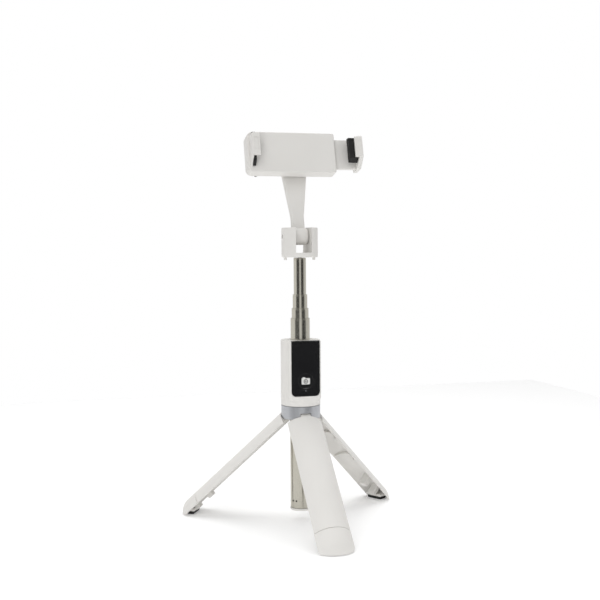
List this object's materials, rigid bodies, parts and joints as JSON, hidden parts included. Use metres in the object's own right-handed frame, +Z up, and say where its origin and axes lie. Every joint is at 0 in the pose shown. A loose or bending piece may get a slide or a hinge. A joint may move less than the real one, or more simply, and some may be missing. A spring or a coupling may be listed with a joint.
{
  "type": "tripod selfie stick",
  "caption": "Pocket tripod selfie stick with fold-out channel legs, telescopic pole, tilting yoke head, spring phone clamp and a slide-out shutter remote.",
  "frame": {"origin": "centre of the footprint of the opened stick on the surface that it stands on; the pole axis is 19.66 mm behind it", "axes": "+Z up along the pole, -Y the side of the remote and of the front leg, +X to the right of someone facing the remote"},
  "size_m": [0.1676, 0.149, 0.2899],
  "materials": {
    "white_plastic": "fine satin moulded ABS, warm white",
    "steel": "polished drawn stainless tube and pins",
    "silver_metal": "satin silver",
    "black_gloss": "high-gloss black",
    "black_plastic": "satin black",
    "rubber": "matt black elastomer",
    "grey_plastic": "satin grey",
    "circuit_green": "solder mask",
    "light_lens": "smoked lens"
  },
  "bodies": {
    "stand": {"column_tube": "steel", "column_end_plug": "white_plastic", "hub_ring": "silver_metal", "hub_core": "grey_plastic", "housing_body": "white_plastic", "housing_collar": "white_plastic", "leg_pin_1": "steel", "leg_pin_2": "steel", "leg_pin_3": "steel"},
    "leg_1": {"leg_channel_1": "white_plastic", "foot_cap_1": "white_plastic", "foot_pad_1": "rubber"},
    "leg_2": {"leg_channel_2": "white_plastic", "foot_cap_2": "white_plastic", "foot_pad_2": "rubber"},
    "leg_3": {"leg_channel_3": "white_plastic", "foot_cap_3": "white_plastic", "foot_pad_3": "rubber"},
    "section_1": {"pole_section_1": "steel", "pole_bush_1": "black_plastic"},
    "section_2": {"pole_section_2": "steel", "pole_bush_2": "black_plastic"},
    "section_3": {"pole_section_3": "steel", "pole_bush_3": "black_plastic"},
    "section_4": {"pole_section_4": "steel", "pole_bush_4": "black_plastic", "head_plug": "black_plastic", "head_screw": "steel"},
    "head": {"head_yoke": "white_plastic", "tilt_pin": "steel", "tilt_washer_1": "white_plastic", "tilt_washer_2": "white_plastic"},
    "arm": {"clamp_arm": "white_plastic"},
    "clamp": {"clamp_frame": "white_plastic", "clamp_back_plate": "white_plastic", "clamp_guide": "grey_plastic", "clamp_screw_1": "steel", "clamp_screw_2": "steel", "guide_rod_1": "steel", "guide_rod_2": "steel", "clamp_spring_1": "steel", "clamp_spring_2": "steel", "fixed_jaw_pad": "rubber", "swivel_washer": "black_plastic", "swivel_screw": "steel"},
    "jaw": {"moving_jaw": "white_plastic", "moving_jaw_pad": "rubber"},
    "remote": {"remote_case": "black_plastic", "remote_face": "black_gloss", "remote_light": "light_lens", "remote_circuit_board": "circuit_green", "remote_switch": "steel", "remote_battery": "steel"},
    "shutter_button": {"remote_button": "black_gloss"}
  },
  "joints": [
    {"name": "leg_1_fold", "type": "hinge", "parent": "stand", "child": "leg_1", "pos_m": [0, 0.00846, 0.0786], "axis": [1, 0, 0], "range_deg": [0, 47]},
    {"name": "leg_2_fold", "type": "hinge", "parent": "stand", "child": "leg_2", "pos_m": [0.0097, 0.02526, 0.0786], "axis": [-0.5, 0.866, 0], "range_deg": [0, 47]},
    {"name": "leg_3_fold", "type": "hinge", "parent": "stand", "child": "leg_3", "pos_m": [-0.0097, 0.02526, 0.0786], "axis": [-0.5, -0.866, 0], "range_deg": [0, 47]},
    {"name": "section_1_slide", "type": "slide", "parent": "stand", "child": "section_1", "axis": [0, 0, 1], "range_m": [-0.015, 0.08]},
    {"name": "section_2_slide", "type": "slide", "parent": "section_1", "child": "section_2", "axis": [0, 0, 1], "range_m": [-0.0064, 0.085]},
    {"name": "section_3_slide", "type": "slide", "parent": "section_2", "child": "section_3", "axis": [0, 0, 1], "range_m": [-0.0092, 0.079]},
    {"name": "section_4_slide", "type": "slide", "parent": "section_3", "child": "section_4", "axis": [0, 0, 1], "range_m": [-0.0266, 0.058]},
    {"name": "head_pan", "type": "hinge", "parent": "section_4", "child": "head", "pos_m": [0, 0.01966, 0.197], "axis": [0, 0, 1], "continuous": true},
    {"name": "head_tilt", "type": "hinge", "parent": "head", "child": "arm", "pos_m": [0, 0.01966, 0.2125], "axis": [1, 0, 0], "range_deg": [-95, 125]},
    {"name": "clamp_swivel", "type": "hinge", "parent": "arm", "child": "clamp", "pos_m": [0, 0.03545, 0.27142], "axis": [0, -0.9659, 0.2588], "continuous": true},
    {"name": "jaw_slide", "type": "slide", "parent": "clamp", "child": "jaw", "axis": [1, 0, 0], "range_m": [-0.0153, 0.0137], "stiffness_N_per_m": 100, "springref_m": -0.03, "deforming": ["clamp_spring_1", "clamp_spring_2"]},
    {"name": "remote_slide", "type": "slide", "parent": "stand", "child": "remote", "axis": [0, 0, 1], "range_m": [0, 0.042]},
    {"name": "button_press", "type": "slide", "parent": "remote", "child": "shutter_button", "axis": [0, 1, 0], "range_m": [0, 0.0004], "stiffness_N_per_m": 1500, "springref_m": -0.0002}
  ]
}
